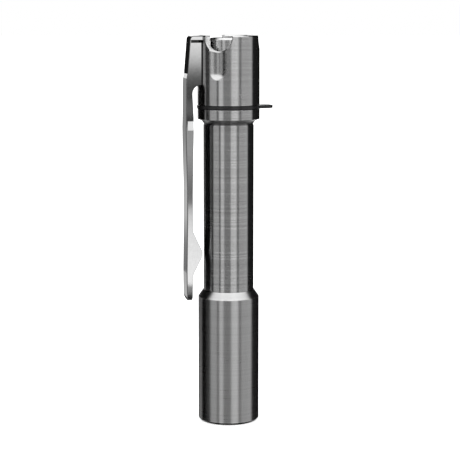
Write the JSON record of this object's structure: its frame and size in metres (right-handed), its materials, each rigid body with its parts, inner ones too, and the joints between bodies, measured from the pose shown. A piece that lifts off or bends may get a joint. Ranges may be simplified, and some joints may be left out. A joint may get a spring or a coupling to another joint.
{
  "type": "mini flashlight",
  "caption": "Slim pocket flashlight in turned steel with a spring clip, a lanyard ring, a push-button tail with scalloped rim, and a head and tail cap that unscrew.",
  "frame": {"origin": "centre of the footprint on the surface that the light stands on, which is the head's front rim; the light's own axis is 0.15 mm from the footprint's centre at most", "axes": "+Z along the light's axis from the front rim to the tail, -X towards the pocket clip, +X towards the ring's lanyard tab"},
  "size_m": [0.0217, 0.0152, 0.094],
  "materials": {
    "turned_steel": "fine turned stainless steel, satin, with faint lathe rings",
    "clip_steel": "smooth tumbled stainless sheet",
    "bezel_steel": "turned stainless steel",
    "screw_steel": "dark oxide steel",
    "black_ring": "black coated, semi-gloss",
    "black_rubber": "matt nitrile rubber",
    "glass": "clear coated glass",
    "reflector_coat": "vacuum-metallised, light orange peel",
    "white_plastic": "matt",
    "led_phosphor": "yellow phosphor under a clear dome",
    "led_board_face": "white solder mask",
    "brass": "turned brass",
    "wire_red": "silicone insulation",
    "circuit_board": "green solder mask",
    "component_black": "moulded epoxy",
    "gold_spring": "gold-flashed spring wire",
    "cell_metal": "nickel-plated steel",
    "cell_wrap": "plain shrink sleeve",
    "black_plastic": "moulded nylon"
  },
  "bodies": {
    "tube": {"body_tube": "turned_steel", "cell_cap": "cell_metal", "cell_can": "cell_metal", "cell_sleeve": "cell_wrap"},
    "head_o_ring": {"head_seal": "black_rubber"},
    "head": {"head_shell": "turned_steel", "bezel_ring": "bezel_steel", "lens_gasket": "black_rubber", "lens": "glass", "reflector": "reflector_coat", "led_spacer": "white_plastic", "led_emitter": "led_phosphor", "led_board": "led_board_face", "led_leads": "wire_red", "heat_sink": "brass", "driver_board": "circuit_board", "driver_parts": "component_black", "driver_ring": "brass", "contact_spring": "gold_spring"},
    "tail_o_ring": {"tail_seal": "black_rubber"},
    "tail": {"tail_cap": "turned_steel", "clip_screws": "screw_steel", "button_seal": "black_rubber", "switch_housing": "black_plastic", "switch_board": "circuit_board", "switch_ring": "brass", "switch_spring": "gold_spring", "battery_spring": "gold_spring"},
    "button": {"tail_button": "turned_steel", "switch_plunger": "white_plastic"},
    "clip": {"clip": "clip_steel"},
    "ring": {"lanyard_ring": "black_ring"}
  },
  "joints": [
    {"name": "head_twist", "type": "hinge", "parent": "tube", "child": "head_o_ring", "pos_m": [0, 0, 0.03075], "axis": [0, 0, -1], "range_deg": [0, 1440]},
    {"name": "head_travel", "type": "slide", "parent": "head_o_ring", "child": "head", "axis": [0, 0, -1], "range_m": [0, 0.003]},
    {"name": "tail_twist", "type": "hinge", "parent": "tube", "child": "tail_o_ring", "pos_m": [0, 0, 0.07835], "axis": [0, 0, 1], "range_deg": [0, 1440]},
    {"name": "tail_travel", "type": "slide", "parent": "tail_o_ring", "child": "tail", "axis": [0, 0, 1], "range_m": [0, 0.003]},
    {"name": "ring_turn", "type": "hinge", "parent": "tail_o_ring", "child": "ring", "pos_m": [0, 0, 0.07698], "axis": [0, 0, 1], "range_deg": [-140, 140]},
    {"name": "button_press", "type": "slide", "parent": "tail", "child": "button", "axis": [0, 0, -1], "range_m": [0, 0.0012], "stiffness_N_per_m": 1000, "springref_m": -0.0005, "deforming": ["switch_spring"]},
    {"name": "clip_spring", "type": "hinge", "parent": "tail", "child": "clip", "pos_m": [-0.0063, 0, 0.09345], "axis": [0, 1, 0], "range_deg": [0, 3], "stiffness_Nm_per_rad": 0.5, "springref_deg": -1.15}
  ],
  "couplings": [
    {"joint": "head_twist", "follows": "head_travel", "rad_per_m": 8377.6},
    {"joint": "tail_twist", "follows": "tail_travel", "rad_per_m": 8377.6}
  ]
}
